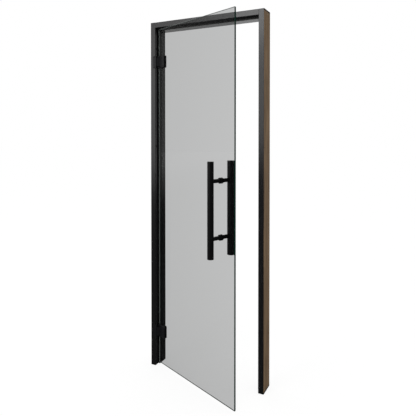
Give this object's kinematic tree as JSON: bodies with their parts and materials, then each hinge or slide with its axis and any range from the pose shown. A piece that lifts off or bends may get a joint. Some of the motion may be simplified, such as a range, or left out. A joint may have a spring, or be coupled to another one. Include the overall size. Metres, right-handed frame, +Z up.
{
  "type": "framed glass door",
  "caption": "Hinged tinted glass door leaf in a rebated timber frame with block hinges, round pull bars on both faces and a roller catch, standing ajar.",
  "frame": {"origin": "hinge jamb's outer wall face, at floor level and at the middle of the frame's depth", "axes": "+X across the doorway from the hinge jamb to the latch jamb, +Y into the wall away from the side the leaf opens to, +Z up"},
  "size_m": [0.69, 0.3492, 1.99],
  "materials": {
    "frame_timber": "satin black paint, bare brown timber on the wall faces",
    "tinted_glass": "polished, grey tint",
    "black_metal": "fine black powder coat",
    "seal_rubber": "matt black",
    "screw_steel": "zinc plated",
    "catch_steel": "satin",
    "nylon": "matt"
  },
  "bodies": {
    "frame": {"hinge_jamb": "frame_timber", "latch_jamb": "frame_timber", "head_rail": "frame_timber", "hinge_jamb_seal": "seal_rubber", "latch_jamb_seal": "seal_rubber", "head_seal": "seal_rubber", "corner_screws": "screw_steel", "catch_housing": "catch_steel", "catch_spring": "screw_steel", "catch_screws": "screw_steel", "upper_hinge_leaf": "black_metal", "upper_hinge_pin": "black_metal", "upper_hinge_washers": "nylon", "upper_hinge_leaf_screws": "black_metal", "lower_hinge_leaf": "black_metal", "lower_hinge_pin": "black_metal", "lower_hinge_washers": "nylon", "lower_hinge_leaf_screws": "black_metal"},
    "leaf": {"glass_pane": "tinted_glass", "handle_sleeves": "nylon", "handle_studs": "screw_steel", "handle_grub_screws": "screw_steel", "upper_hinge_block": "black_metal", "upper_hinge_clamp_plate": "black_metal", "upper_hinge_outer_gasket": "seal_rubber", "upper_hinge_inner_gasket": "seal_rubber", "upper_hinge_sleeves": "nylon", "upper_hinge_clamp_screws": "black_metal", "lower_hinge_block": "black_metal", "lower_hinge_clamp_plate": "black_metal", "lower_hinge_outer_gasket": "seal_rubber", "lower_hinge_inner_gasket": "seal_rubber", "lower_hinge_sleeves": "nylon", "lower_hinge_clamp_screws": "black_metal", "outer_bar": "black_metal", "outer_bar_caps": "black_metal", "outer_rosettes": "black_metal", "outer_foot_washers": "nylon", "outer_upper_post": "black_metal", "outer_lower_post": "black_metal", "inner_bar": "black_metal", "inner_bar_caps": "black_metal", "inner_rosettes": "black_metal", "inner_foot_washers": "nylon", "inner_upper_post": "black_metal", "inner_lower_post": "black_metal"},
    "catch_plunger": {"catch_plunger": "catch_steel", "catch_roller_pin": "screw_steel"},
    "catch_roller": {"catch_roller": "nylon"}
  },
  "joints": [
    {"name": "leaf_swing", "type": "hinge", "parent": "frame", "child": "leaf", "pos_m": [0.036, -0.0495, 0.995], "axis": [0, 0, -1], "range_deg": [-22.3, 137.7]},
    {"name": "catch_travel", "type": "slide", "parent": "frame", "child": "catch_plunger", "axis": [1, 0, 0], "range_m": [0, 0.004], "stiffness_N_per_m": 1500, "springref_m": -0.004, "deforming": ["catch_spring"]},
    {"name": "roller_spin", "type": "hinge", "parent": "catch_plunger", "child": "catch_roller", "pos_m": [0.661, -0.0305, 0.976], "axis": [0, 0, 1], "continuous": true}
  ]
}
